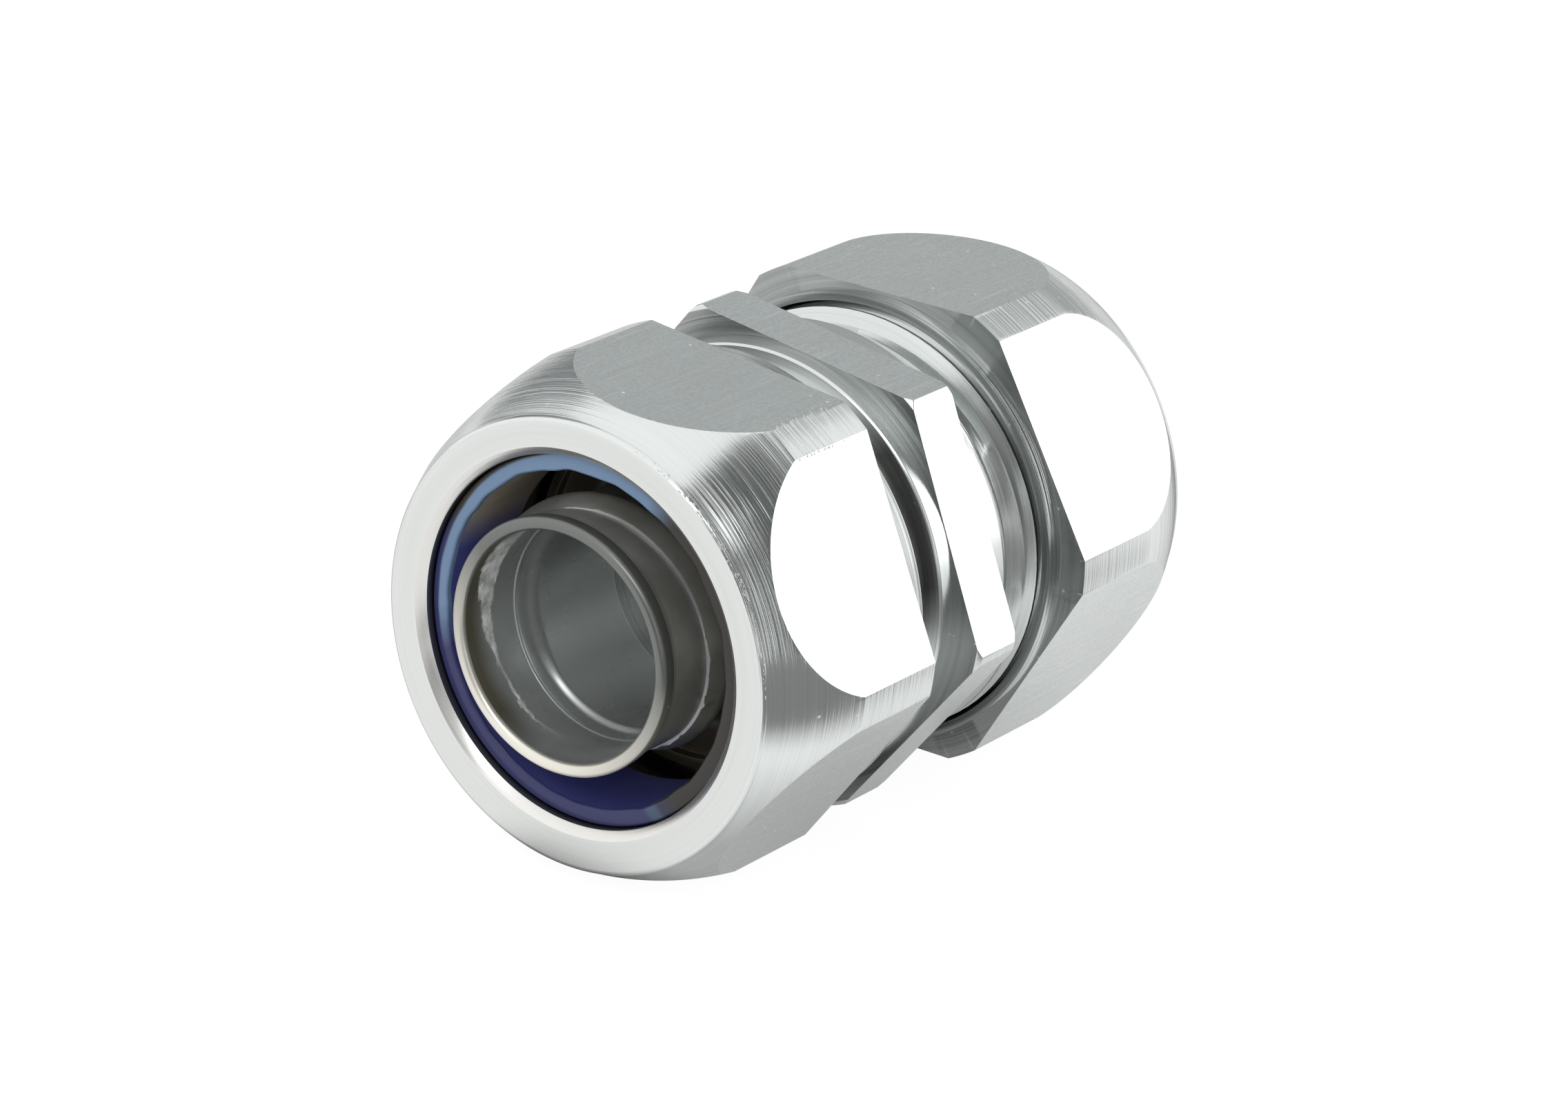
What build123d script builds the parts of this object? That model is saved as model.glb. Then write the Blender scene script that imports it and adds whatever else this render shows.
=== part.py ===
"""Straight coupling that joins two ends of flexible conduit.

The axis runs along X and lies level, +Z is up, and the origin is on the floor under the middle of the
collar. The front nut is at -X. Each end is described by s, the distance from the middle of the collar
along the axis, and r, the distance from the axis. All sizes are in millimetres.
"""
from build123d import *
import os
from math import cos, radians, sin, sqrt

# Driving dimensions of the nuts
nut_across_flats = 30.0
nut_corner_rise = 1.7
nut_length = 14.1
nut_hex_length = 7.2
nut_wall = 0.9
face_width = 2.25
nose_round = 0.35
dome_bulge = 0.33
hole_chamfer = 0.5
hole_lip = 1.0
seat_length = 2.6
seat_rise = 0.75
seat_land = 1.0
mouth_rim = 0.1
mouth_depth = 0.5

# Driving dimensions of the body
collar_step = 0.8
collar_corner_rise = 2.05
collar_thickness = 4.1
collar_bevel = 0.3
boss_step = 0.05
boss_length = 1.4
relief_width = 1.2
relief_depth = 1.1
thread_length = 7.0
thread_pitch = 1.5
thread_depth = 0.9
thread_crest = 0.2
thread_foot = 1.25
thread_sink = 0.15
counterbore_wall = 0.4
bore_step = 0.65
ferrule_seat_depth = 3.25

# Driving dimensions of the ferrules
ferrule_length = 14.35
conduit_room = 2.75
tube_wall = 0.55
throat_step = 0.35
throat_length = 8.2
lip_rise = 0.3
lip_width = 1.1
cup_wall = 0.7
cup_depth = 0.7
cup_floor = 0.8
cup_root_round = 0.9
ridge_height = 0.65
ridge_width = 1.7
ridge_crest = 0.6
ridge_lead = 5.0
ridge_turns = 1.15
ridge_start = 2.9
ridge_start_angle = -103.0
ferrule_float = 0.4

# Driving dimensions of the seal rings
seal_nose_wall = 1.0
seal_length = 6.5
seal_nose_round = 0.25

# Clearances and the places in which the photo shows the nuts
thread_clearance = 0.1
seal_clearance = 0.15
cup_clearance = 0.8
seal_set_back = 1.0
front_nut_gap = 5.5
rear_nut_gap = 6.45
nut_twist = 3.2
collar_twist = 5.0

# Radii that follow, from the nut's flats inwards to the passage through the ferrules
nut_radius = nut_across_flats / 2 + nut_corner_rise
mouth_radius = nut_across_flats / 2 - mouth_rim
nut_bore_radius = nut_across_flats / 2 - nut_wall
thread_radius = nut_bore_radius - thread_clearance
thread_root_radius = thread_radius - thread_depth
relief_radius = thread_radius - relief_depth
counterbore_radius = relief_radius - counterbore_wall
seal_radius = counterbore_radius - seal_clearance
seat_radius = seal_radius + seal_clearance
hole_radius = seat_radius - seat_rise
nose_radius = hole_radius + face_width
seal_nose_radius = hole_radius - seal_clearance
seal_bore_radius = seal_nose_radius - seal_nose_wall
cup_radius = counterbore_radius - cup_clearance
tube_radius = seal_bore_radius - conduit_room
lip_radius = tube_radius + lip_rise
tube_bore_radius = tube_radius - tube_wall
throat_radius = tube_bore_radius - throat_step
body_bore_radius = throat_radius + bore_step
collar_across_flats = nut_across_flats - 2 * collar_step
collar_radius = collar_across_flats / 2 + collar_corner_rise
boss_radius = collar_across_flats / 2 - boss_step

# Places that follow along the axis
collar_end = collar_thickness / 2
boss_end = collar_end + boss_length
relief_end = boss_end + relief_width
body_end = relief_end + thread_length
ferrule_foot = body_end - ferrule_seat_depth
thread_start = relief_end + thread_pitch / 2
thread_height = body_end - thread_pitch / 2 - thread_start

# The lowest point is where the turned corner of a nut meets its lower flat
flat_edge_height = nut_across_flats / 2
flat_half_width = sqrt(nut_radius**2 - flat_edge_height**2)
axis_height = flat_edge_height * cos(radians(nut_twist)) + flat_half_width * sin(radians(nut_twist))

coupling_axis = Axis((0, 0, axis_height), (1, 0, 0))
ferrule_axis = Axis((0, ferrule_float, axis_height), (1, 0, 0))


def end_plane(direction, offset=0.0):
    """Plane whose x grows with s towards one end of the coupling, and whose y is the radius."""
    return Plane(origin=(0, offset, axis_height), x_dir=(direction, 0, 0), z_dir=(0, -direction, 0))


def cross_plane(direction, s, twist):
    """Plane across the axis at s, with its y up and turned by twist degrees towards the viewer's side."""
    turned = (0, cos(radians(twist)), sin(radians(twist)))
    return Plane(origin=(direction * s, 0, axis_height), x_dir=turned, z_dir=(1, 0, 0))


def hexagon(across_flats):
    """Hexagon with a flat on top."""
    RegularPolygon(across_flats / 2, 6, major_radius=False)


def nut_outline(mouth):
    """Half section of a nut whose open end is at s = mouth."""
    face = mouth + nut_length
    shoulder = mouth + nut_hex_length
    nose_edge = (face - nose_round, nose_radius + nose_round)
    middle = ((shoulder + nose_edge[0]) / 2, (nut_radius + nose_edge[1]) / 2 + dome_bulge)
    seat_start = face - hole_lip
    seat_end = seat_start - seat_length
    land_end = seat_end - seat_land
    run_out = nut_bore_radius - seat_radius
    with BuildSketch() as section:
        with BuildLine():
            Line((mouth, mouth_radius), (mouth, nut_radius))
            Line((mouth, nut_radius), (shoulder, nut_radius))
            ThreePointArc((shoulder, nut_radius), middle, nose_edge)
            RadiusArc(nose_edge, (face, nose_radius), nose_round)
            Polyline(
                (face, nose_radius),
                (face, hole_radius + hole_chamfer),
                (face - hole_chamfer, hole_radius),
                (seat_start, hole_radius),
                (seat_end, seat_radius),
                (land_end, seat_radius),
                (land_end - run_out, nut_bore_radius),
                (mouth + mouth_depth, nut_bore_radius),
                (mouth, mouth_radius),
            )
        make_face()
    return section.sketch


def seal_outline(face):
    """Half section of a seal ring in a nut whose nose is at s = face."""
    front = face - seal_set_back
    cone_end = face - hole_lip - seat_length
    back = front - seal_length
    with BuildSketch() as section:
        with BuildLine():
            Polyline(
                (front - seal_nose_round, seal_bore_radius),
                (back, seal_bore_radius),
                (back, seal_radius),
                (cone_end, seal_radius),
                (front - seal_nose_round, seal_nose_radius),
                (front, seal_nose_radius - seal_nose_round),
                (front, seal_bore_radius + seal_nose_round),
                (front - seal_nose_round, seal_bore_radius),
            )
        make_face()
    return section.sketch


def ferrule_outline():
    """Half section of a ferrule, from its foot in the body to its rolled lip."""
    tip = ferrule_foot + ferrule_length
    bead = (lip_radius - tube_bore_radius) / 2
    nose = (tip - bead, tube_bore_radius)
    brow = (tip - bead, lip_radius)
    throat_end = ferrule_foot + throat_length
    floor_end = ferrule_foot + cup_floor
    root_outside = (floor_end, tube_radius + cup_root_round)
    root_end = (floor_end + cup_root_round, tube_radius)
    root_dip = cup_root_round * (1 - sqrt(0.5))
    with BuildSketch() as section:
        with BuildLine():
            Polyline(
                nose,
                (throat_end + throat_step, tube_bore_radius),
                (throat_end, throat_radius),
                (ferrule_foot, throat_radius),
                (ferrule_foot, cup_radius),
                (floor_end + cup_depth, cup_radius),
                (floor_end + cup_depth, cup_radius - cup_wall),
                (floor_end, cup_radius - cup_wall),
                root_outside,
            )
            ThreePointArc(root_outside, (floor_end + root_dip, tube_radius + root_dip), root_end)
            Polyline(
                root_end,
                (tip - lip_width - lip_rise, tube_radius),
                (tip - lip_width, lip_radius),
                brow,
            )
            ThreePointArc(brow, (tip, (lip_radius + tube_bore_radius) / 2), nose)
        make_face()
    return section.sketch


def ridge_outline(foot, crest, height, sink):
    """Section of a wound ridge: a trapezoid on a foot that is sunk in the wall below it."""
    with BuildSketch() as section:
        with BuildLine():
            Polyline(
                (-sink, -foot / 2),
                (0, -foot / 2),
                (height, -crest / 2),
                (height, crest / 2),
                (0, foot / 2),
                (-sink, foot / 2),
                (-sink, -foot / 2),
            )
        make_face()
    return section.sketch


# Coupling body: hex collar with a boss, a relief groove and a thread at each side, bored through
with BuildPart() as coupling_body:
    with BuildSketch(end_plane(1)):
        with BuildLine():
            Polyline(
                (0, collar_radius),
                (collar_end - collar_bevel, collar_radius),
                (collar_end, collar_radius - collar_bevel),
                (collar_end, body_bore_radius + collar_bevel),
                (0, body_bore_radius + collar_bevel),
            )
            mirror(about=Plane.YZ)
        make_face()
    revolve(axis=coupling_axis)
    with BuildSketch(cross_plane(-1, collar_end, collar_twist)):
        hexagon(collar_across_flats)
    extrude(amount=collar_thickness, mode=Mode.INTERSECT)
    with BuildSketch(end_plane(1)):
        with BuildLine():
            Polyline(
                (0, boss_radius),
                (boss_end, boss_radius),
                (boss_end, relief_radius),
                (relief_end, relief_radius),
                (relief_end, thread_root_radius),
                (body_end, thread_root_radius),
                (body_end, counterbore_radius),
                (ferrule_foot, counterbore_radius),
                (ferrule_foot, body_bore_radius),
                (0, body_bore_radius),
            )
            mirror(about=Plane.YZ)
        make_face()
    revolve(axis=coupling_axis)
    for direction in (-1, 1):
        with BuildLine() as thread_path:
            Helix(
                pitch=thread_pitch,
                height=thread_height,
                radius=thread_root_radius,
                center=(direction * thread_start, 0, axis_height),
                direction=(direction, 0, 0),
            )
        start = thread_path.line @ 0
        outward = Vector(0, start.Y, start.Z - axis_height)
        with BuildSketch(Plane(origin=start, x_dir=outward, z_dir=thread_path.line % 0)):
            add(ridge_outline(thread_foot, thread_crest, thread_depth, thread_sink))
        sweep(is_frenet=True)
coupling_body.part.label = "coupling_body"

os.makedirs("parts", exist_ok=True)
export_step(coupling_body.part, "parts/coupling_body.step")

# The two ends: side name, direction along X, gap between nut and collar, twist of the nut
ends = (
    ("front", -1, front_nut_gap, nut_twist),
    ("rear", 1, rear_nut_gap, -nut_twist),
)

for side, direction, nut_gap, twist in ends:
    mouth = collar_end + nut_gap

    # Nut: turned with its dome and seat, then the six flats are cut
    with BuildPart() as nut:
        with BuildSketch(end_plane(direction)):
            add(nut_outline(mouth))
        revolve(axis=coupling_axis)
        with BuildSketch(cross_plane(direction, mouth, twist)):
            hexagon(nut_across_flats)
        extrude(amount=direction * nut_length, mode=Mode.INTERSECT)
    nut.part.label = side + "_nut"
    export_step(nut.part, "parts/" + side + "_nut.step")

    # Seal ring: sits in the nut's conical seat
    with BuildPart() as seal_ring:
        with BuildSketch(end_plane(direction)):
            add(seal_outline(mouth + nut_length))
        revolve(axis=coupling_axis)
    seal_ring.part.label = side + "_seal_ring"
    export_step(seal_ring.part, "parts/" + side + "_seal_ring.step")

    # Ferrule: stands loose in the body's seat, with a helical ridge that grips the conduit
    with BuildPart() as ferrule:
        with BuildSketch(end_plane(direction, ferrule_float)):
            add(ferrule_outline())
        revolve(axis=ferrule_axis)
        ridge_end = ferrule_foot + ferrule_length - ridge_start
        with BuildLine() as ridge_path:
            untwisted = Helix(
                pitch=ridge_lead,
                height=ridge_lead * ridge_turns,
                radius=tube_radius,
                center=(direction * ridge_end, ferrule_float, axis_height),
                direction=(-direction, 0, 0),
                mode=Mode.PRIVATE,
            )
            add(untwisted.rotate(ferrule_axis, ridge_start_angle))
        start = ridge_path.line @ 0
        outward = Vector(0, start.Y - ferrule_float, start.Z - axis_height)
        with BuildSketch(Plane(origin=start, x_dir=outward, z_dir=ridge_path.line % 0)):
            add(ridge_outline(ridge_width, ridge_crest, ridge_height, tube_wall / 2))
        sweep(is_frenet=True)
    ferrule.part.label = side + "_ferrule"
    export_step(ferrule.part, "parts/" + side + "_ferrule.step")
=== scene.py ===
"""Dresses a straight coupling for flexible conduit and sets it in a plain pale studio.

Everything is in metres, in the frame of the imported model: the axis runs along X, +Z is up. A place on a
piece is given by x along the axis and r, the distance from the axis. Pieces that come at both ends use s,
which is x counted outwards from the middle of the coupling. Angles go from +Z towards -Y.
"""
import cmath
import logging
import math
import random
from dataclasses import dataclass, field
from enum import Enum

import bmesh
import bpy
from mathutils import Matrix, Vector


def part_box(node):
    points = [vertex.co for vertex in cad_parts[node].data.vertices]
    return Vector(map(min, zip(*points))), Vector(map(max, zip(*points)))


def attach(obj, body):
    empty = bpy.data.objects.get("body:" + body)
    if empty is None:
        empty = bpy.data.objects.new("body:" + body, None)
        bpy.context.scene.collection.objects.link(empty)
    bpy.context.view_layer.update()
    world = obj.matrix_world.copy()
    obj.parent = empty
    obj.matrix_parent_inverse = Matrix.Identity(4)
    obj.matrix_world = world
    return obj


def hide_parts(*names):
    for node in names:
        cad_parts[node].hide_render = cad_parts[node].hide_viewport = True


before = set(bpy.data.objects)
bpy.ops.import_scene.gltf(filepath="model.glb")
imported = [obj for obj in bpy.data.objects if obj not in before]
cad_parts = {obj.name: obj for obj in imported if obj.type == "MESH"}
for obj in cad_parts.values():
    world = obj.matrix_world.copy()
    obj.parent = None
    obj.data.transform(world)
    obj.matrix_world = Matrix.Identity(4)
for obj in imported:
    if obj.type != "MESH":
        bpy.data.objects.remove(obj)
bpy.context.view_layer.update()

LOG = logging.getLogger("coupling")
MM = 0.001
TURN = 2 * math.pi
SHARP_EDGE = math.radians(32)
Point = tuple[float, float]
Colour = tuple[float, float, float]
Mesh = bmesh.types.BMesh
Finishes = dict[str, bpy.types.Material]


class End(Enum):
    """The two ends of the coupling, with the direction along X in which each one points."""

    FRONT = -1
    REAR = 1

    @property
    def label(self) -> str:
        """Name of the end as the nodes use it."""
        return self.name.lower()

    def span(self, kind: str) -> Point:
        """The least and greatest s of one of this end's nodes, from the frame."""
        low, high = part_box(f"{self.label}_{kind}")
        inner, outer = sorted((low[0] * self.value, high[0] * self.value))
        return inner, outer


class Grain(Enum):
    """How a metal surface was cut, which decides the direction of its fine lines."""

    TURNED = "turned"
    DRAWN = "drawn"


def axis_height() -> float:
    """Height of the coupling's axis, from the ring that sits round it."""
    low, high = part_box("front_seal_ring")
    return (low[2] + high[2]) / 2


AXIS_Z = axis_height()
MIDDLE = Vector((0, 0, AXIS_Z))


# Shaping helpers


def arc(start: Point, middle: Point, end: Point, steps: int) -> list[Point]:
    """Points on the circle through three points.

    Args:
        start: First point of the arc.
        middle: A point on the arc between the two ends.
        end: Last point of the arc.
        steps: Number of straight pieces.

    Returns:
        The points from start to end, both included.
    """
    a, b, c = (complex(*point) for point in (start, middle, end))
    skew = (c - a) / (b - a)
    centre = a + (b - a) * (skew - abs(skew) ** 2) / (2j * skew.imag)
    passed, whole = (cmath.phase((point - centre) / (a - centre)) % TURN for point in (b, c))
    sweep = whole if passed < whole else whole - TURN
    points = [centre + (a - centre) * cmath.rect(1.0, sweep * k / steps) for k in range(steps + 1)]
    return [(point.real, point.imag) for point in points]


def polar(place: Vector) -> Point:
    """Place along the axis and distance from the axis."""
    return place.x, math.hypot(place.y, place.z - AXIS_Z)


def spin_section(bm: Mesh, section: list[Point], steps: int, shift: float = 0.0) -> list:
    """Turns a closed half section round the axis.

    Args:
        bm: Mesh that takes the turned shape.
        section: Corners (x, r) in order round the section.
        steps: Number of facets round the axis.
        shift: How far the axis lies off the coupling's own, along Y.

    Returns:
        The new faces, with their normals outwards.
    """
    before = set(bm.faces)
    ring = [bm.verts.new((x, shift, AXIS_Z + r)) for x, r in section]
    edges = [bm.edges.new((ring[k - 1], ring[k])) for k in range(len(ring))]
    bmesh.ops.spin(bm, geom=ring + edges, cent=(0, shift, AXIS_Z), axis=(1, 0, 0), angle=TURN,
                   steps=steps, use_merge=True, use_duplicate=False)
    faces = [face for face in bm.faces if face not in before]
    bmesh.ops.recalc_face_normals(bm, faces=faces)
    return faces


def cut_flats(bm: Mesh, faces: list, across: float, twist: float, material: int,
              middle: Point = (0.0, 0.0)) -> None:
    """Cuts the six flats of a hexagon out of a turned shape and closes each cut with one face.

    Args:
        bm: Mesh that holds the shape.
        faces: Faces of the turned shape.
        across: Size across flats.
        twist: Angle of the first flat's normal, in radians.
        material: Material index of the flats.
        middle: Middle of the hexagon as (y, z) from the axis.
    """
    alive = set(faces)
    for side in range(6):
        angle = twist + side * TURN / 6
        normal = Vector((0, -math.sin(angle), math.cos(angle)))
        point = Vector((0, middle[0], AXIS_Z + middle[1])) + normal * (across / 2)
        alive = {face for face in alive if face.is_valid}
        edges = {edge for face in alive for edge in face.edges}
        verts = {vert for face in alive for vert in face.verts}
        cut = bmesh.ops.bisect_plane(bm, geom=[*alive, *edges, *verts], dist=1e-8, plane_co=point,
                                     plane_no=normal, clear_outer=True)
        alive = {item for item in cut["geom"] if isinstance(item, bmesh.types.BMFace) and item.is_valid}
        rim = [item for item in cut["geom_cut"] if isinstance(item, bmesh.types.BMEdge)]
        for face in bmesh.ops.edgeloop_fill(bm, edges=rim)["faces"]:
            face.material_index = material
            alive.add(face)
    bmesh.ops.recalc_face_normals(bm, faces=bm.faces)


def soften_edges(bm: Mesh, width: float, least: float) -> None:
    """Breaks every sharp outside or inside edge with a narrow round.

    Args:
        bm: Mesh to work on.
        width: Width of the round.
        least: Smallest angle between two faces that counts as sharp, in degrees.
    """
    limit = math.radians(least)
    sharp = [edge for edge in bm.edges if edge.is_manifold and edge.calc_face_angle(0.0) > limit]
    bmesh.ops.bevel(bm, geom=sharp, offset=width, offset_type="OFFSET", affect="EDGES", segments=2,
                    profile=0.5, material=-1, clamp_overlap=True)


def vee(foot: float, crest: float, foot_width: float, crest_width: float) -> list[Point]:
    """Section of a thread's ridge as (place along the axis, radius), from foot to foot."""
    half, top = foot_width / 2, crest_width / 2
    return [(-half, foot), (-top, crest), (top, crest), (half, foot)]


@dataclass
class Helix:
    """A ridge that winds round the axis with its foot sunk in the surface that carries it."""

    start: float
    length: float
    lead: float
    section: list[Point]
    phase: float
    shift: float = 0.0
    steps_a_turn: int = 96
    fade: float = 0.5
    foot_share: float = 0.2
    least_rise: float = 0.05

    def build(self, bm: Mesh, limit=None, roughen=None) -> list:
        """Winds the ridge into bm.

        Args:
            bm: Mesh that takes the ridge.
            limit: Function of x that gives the radius beyond which the ridge is cut, or None.
            roughen: Function of angle and x that gives how far the crest moves outwards, or None.

        Returns:
            The new faces.
        """
        before = set(bm.faces)
        known = set(bm.verts)
        turns = self.length / self.lead
        steps = max(8, int(turns * self.steps_a_turn))
        centre = Vector((0, self.shift, AXIS_Z))
        first_turn = Matrix.Rotation(self.phase, 4, "X")
        ring = [bm.verts.new(centre + first_turn @ Vector((self.start + x, 0, r))) for x, r in self.section]
        edges = [bm.edges.new((ring[k - 1], ring[k])) for k in range(len(ring))]
        bm.faces.new(ring)
        turned = bmesh.ops.spin(bm, geom=ring + edges, cent=centre, axis=(1, 0, 0), angle=turns * TURN,
                                steps=steps, dvec=(self.length / steps, 0, 0), use_merge=False,
                                use_duplicate=False)
        bm.faces.new([item for item in turned["geom_last"] if isinstance(item, bmesh.types.BMVert)])
        self._finish([vert for vert in bm.verts if vert not in known], limit, roughen)
        faces = [face for face in bm.faces if face not in before]
        bmesh.ops.recalc_face_normals(bm, faces=faces)
        return faces

    def _finish(self, verts: list, limit, roughen) -> None:
        """Fades the ends into the surface, cuts what passes the limit and roughens the crest."""
        foot = self.section[0][1]
        rise = max((r - foot for _, r in self.section), key=abs)
        for vert in verts:
            y, z = vert.co.y - self.shift, vert.co.z - AXIS_Z
            radius = math.hypot(y, z)
            if (radius - foot) / rise < self.foot_share:
                continue
            along = vert.co.x - self.start
            run = min(along, self.length - along) / (self.lead * self.fade) + self.least_rise
            wanted = foot + (radius - foot) * min(1.0, max(0.0, run))
            if limit is not None:
                wanted = min(wanted, limit(vert.co.x))
            if roughen is not None:
                wanted += roughen(math.atan2(-y, z), vert.co.x)
            vert.co.y = self.shift + y * wanted / radius
            vert.co.z = AXIS_Z + z * wanted / radius


def add_burrs(bm: Mesh, spots: list, material: int) -> None:
    """Sets small burrs on a surface, each a stretched ball half sunk in it.

    Args:
        bm: Mesh that takes the burrs.
        spots: For each burr its x, radius and angle, and its half sizes along x, outwards and round
            the axis.
        material: Material index of the burrs.
    """
    for x, radius, angle, long, high, wide in spots:
        place = (Matrix.Translation((x, 0, AXIS_Z)) @ Matrix.Rotation(angle, 4, "X")
                 @ Matrix.Translation((0, 0, radius)) @ Matrix.Diagonal((long, wide, high, 1)))
        made = bmesh.ops.create_icosphere(bm, subdivisions=1, radius=1.0, matrix=place)
        for face in {face for vert in made["verts"] for face in vert.link_faces}:
            face.material_index = material


def link_object(name: str, data: bpy.types.ID) -> bpy.types.Object:
    """Makes an object at the origin in the scene."""
    item = bpy.data.objects.new(name, data)
    bpy.context.scene.collection.objects.link(item)
    return item


def link_mesh(name: str, bm: Mesh, materials: list) -> bpy.types.Object:
    """Makes an object at the origin from a bmesh, which is freed, and a list of materials."""
    mesh = bpy.data.meshes.new(name)
    bm.to_mesh(mesh)
    bm.free()
    for material in materials:
        mesh.materials.append(material)
    return link_object(name, mesh)


def link_sheet(name: str, place: Matrix, material: bpy.types.Material) -> bpy.types.Object:
    """Makes a flat studio sheet from a square with sides of 1 m, and a transform for it."""
    bm = bmesh.new()
    bmesh.ops.create_grid(bm, x_segments=1, y_segments=1, size=0.5, matrix=place)
    sheet = link_mesh(name, bm, [material])
    return sheet


def make_piece(name: str, bm: Mesh, materials: list) -> bpy.types.Object:
    """Turns a finished bmesh into a smooth-shaded piece with hard edges where it is sharp.

    Args:
        name: Name of the piece.
        bm: The finished mesh, freed here.
        materials: Materials in the order of the faces' indices.

    Returns:
        The new object.
    """
    for face in bm.faces:
        face.smooth = True
    for edge in bm.edges:
        edge.smooth = edge.calc_face_angle(0.0) < SHARP_EDGE
    piece = link_mesh(name, bm, materials)
    weighted = piece.modifiers.new("weighted_normals", "WEIGHTED_NORMAL")
    weighted.keep_sharp = True
    weighted.weight = 60
    return piece


# Node helpers and shared effects


class Value:
    """An output socket. Plain arithmetic on it adds Math nodes."""

    def __init__(self, nodes: "Nodes", socket: bpy.types.NodeSocket) -> None:
        """Keeps the socket and the helper for its tree."""
        self.nodes = nodes
        self.socket = socket

    def __add__(self, other) -> "Value":
        """Sum."""
        return self.nodes.math("ADD", self, other)

    def __sub__(self, other) -> "Value":
        """Difference."""
        return self.nodes.math("SUBTRACT", self, other)

    def __rsub__(self, other: float) -> "Value":
        """Difference from a number."""
        return self.nodes.math("SUBTRACT", other, self)

    def __mul__(self, other) -> "Value":
        """Product."""
        return self.nodes.math("MULTIPLY", self, other)

    def __abs__(self) -> "Value":
        """Absolute value."""
        return self.nodes.math("ABSOLUTE", self)

    def ramp(self, low: float, high: float) -> "Value":
        """Maps low..high to 0..1, clamped."""
        return self.nodes.value("ShaderNodeMapRange", {"Value": self, "From Min": low, "From Max": high})


class Nodes:
    """Short ways to add and join nodes in one tree."""

    def __init__(self, tree: bpy.types.NodeTree) -> None:
        """Keeps the tree that the nodes go into."""
        self.tree = tree

    def add(self, kind: str, inputs: dict | None = None, **settings) -> bpy.types.Node:
        """Adds a node, sets its properties and feeds its inputs."""
        node = self.tree.nodes.new(kind)
        for key, value in settings.items():
            setattr(node, key, value)
        for key, value in (inputs or {}).items():
            self.feed(node.inputs[key], value)
        return node

    def feed(self, socket: bpy.types.NodeSocket, value) -> None:
        """Gives an input socket a value to follow, or a plain number, vector or RGB colour."""
        if isinstance(value, Value):
            self.tree.links.new(value.socket, socket)
        elif socket.type == "RGBA":
            socket.default_value = (*value, 1)
        else:
            socket.default_value = value

    def outputs(self, node: bpy.types.Node, *names) -> list[Value]:
        """Some of a node's outputs, by name or number."""
        return [Value(self, node.outputs[name]) for name in names]

    def value(self, kind: str, inputs: dict | None = None, output=0, **settings) -> Value:
        """Adds a node and returns one of its outputs."""
        return self.outputs(self.add(kind, inputs, **settings), output)[0]

    def math(self, operation: str, first, second=0.0, clamp: bool = False) -> Value:
        """Adds a Math node."""
        return self.value("ShaderNodeMath", {0: first, 1: second}, operation=operation, use_clamp=clamp)

    def noise(self, vector: Value, scale, detail: float = 2.0, roughness: float = 0.5) -> Value:
        """Adds a Noise Texture."""
        return self.value("ShaderNodeTexNoise", {"Vector": vector, "Scale": scale, "Detail": detail,
                                                 "Roughness": roughness})

    def mix(self, factor: Value, first, second) -> Value:
        """Mixes two colours."""
        return self.value("ShaderNodeMix", {"Factor": factor, 6: first, 7: second}, 2, data_type="RGBA")

    def split(self, vector: Value) -> list[Value]:
        """The three parts of a vector."""
        return self.outputs(self.add("ShaderNodeSeparateXYZ", {0: vector}), 0, 1, 2)

    def length(self, first: Value, second: Value) -> Value:
        """Length of a flat vector."""
        return self.math("SQRT", self.math("POWER", first, 2.0) + self.math("POWER", second, 2.0))

    def place(self) -> Value:
        """Object coordinates."""
        return self.value("ShaderNodeTexCoord", output="Object")

    def surface(self, **values) -> None:
        """Feeds inputs of the material's shader, named with _ for each space."""
        for label, value in values.items():
            self.feed(self.tree.nodes["Principled BSDF"].inputs[label.replace("_", " ")], value)

    def bump(self, height: Value, distance: float) -> None:
        """Gives the material's shader a fine relief."""
        self.surface(Normal=self.value("ShaderNodeBump", {"Height": height, "Distance": distance}))

    def show(self, shader: Value) -> None:
        """Makes a shader the material's surface."""
        self.add("ShaderNodeOutputMaterial", {"Surface": shader})


def start_material(name: str) -> tuple[bpy.types.Material, Nodes]:
    """Makes a material with nodes and a helper for its tree."""
    material = bpy.data.materials.new(name)
    material.use_nodes = True
    return material, Nodes(material.node_tree)


def start_group(name: str, inputs: dict[str, float]) -> tuple[Nodes, bpy.types.Node]:
    """Starts a shader node group.

    Args:
        name: Name of the group.
        inputs: Names and first values of its float inputs. It has a vector input besides.

    Returns:
        A helper for its tree, and its input node.
    """
    nodes = Nodes(bpy.data.node_groups.new(name, "ShaderNodeTree"))
    nodes.tree.interface.new_socket("Vector", in_out="INPUT", socket_type="NodeSocketVector")
    for label, value in inputs.items():
        socket = nodes.tree.interface.new_socket(label, in_out="INPUT", socket_type="NodeSocketFloat")
        socket.default_value = value
    return nodes, nodes.add("NodeGroupInput")


def end_group(nodes: Nodes, results: dict[str, Value]) -> bpy.types.NodeTree:
    """Gives a node group its float outputs and returns it."""
    for label in results:
        nodes.tree.interface.new_socket(label, in_out="OUTPUT", socket_type="NodeSocketFloat")
    nodes.add("NodeGroupOutput", results)
    return nodes.tree


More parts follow.
